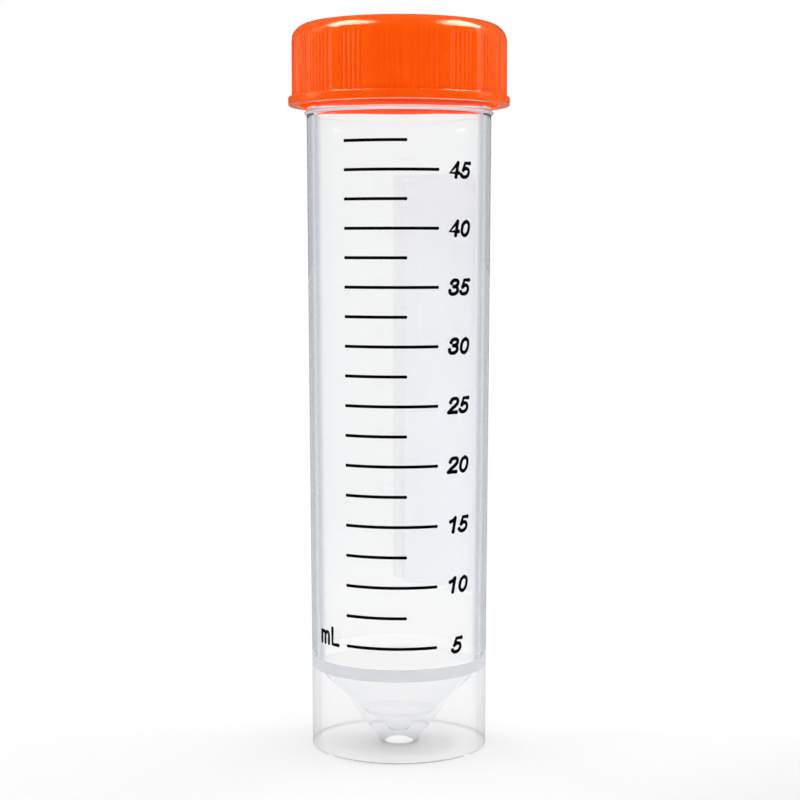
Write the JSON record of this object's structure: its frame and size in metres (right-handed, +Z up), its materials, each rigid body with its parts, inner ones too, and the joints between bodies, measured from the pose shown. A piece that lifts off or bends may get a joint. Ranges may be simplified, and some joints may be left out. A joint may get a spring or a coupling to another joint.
{
  "type": "conical tube",
  "caption": "Self-standing clear 50 ml lab tube with a conical bottom inside a skirt, a printed scale and an orange ribbed screw cap.",
  "frame": {"origin": "centre of the skirt's foot, on the surface that the tube stands on", "axes": "+Z up along the tube's axis, -Y towards the printed scale, +X to the right of someone who reads it"},
  "size_m": [0.035, 0.035, 0.1147],
  "materials": {
    "clear_plastic": "clear, glossy",
    "orange_plastic": "glossy, opaque",
    "liner_foam": "soft, matt",
    "black_ink": "printed",
    "white_ink": "printed, matt"
  },
  "bodies": {
    "tube": {"tube": "clear_plastic", "scale_lines": "black_ink", "writing_panel": "white_ink"},
    "seal": {"seal_liner": "liner_foam"},
    "cap": {"cap": "orange_plastic"}
  },
  "joints": [
    {"name": "cap_lift", "type": "slide", "parent": "tube", "child": "seal", "axis": [0, 0, 1], "range_m": [0, 0.012]},
    {"name": "cap_turn", "type": "hinge", "parent": "seal", "child": "cap", "pos_m": [0, 0, 0.102], "axis": [0, 0, 1], "range_deg": [0, 1080]}
  ],
  "couplings": [
    {"joint": "cap_lift", "follows": "cap_turn", "m_per_rad": 0.00063662}
  ]
}
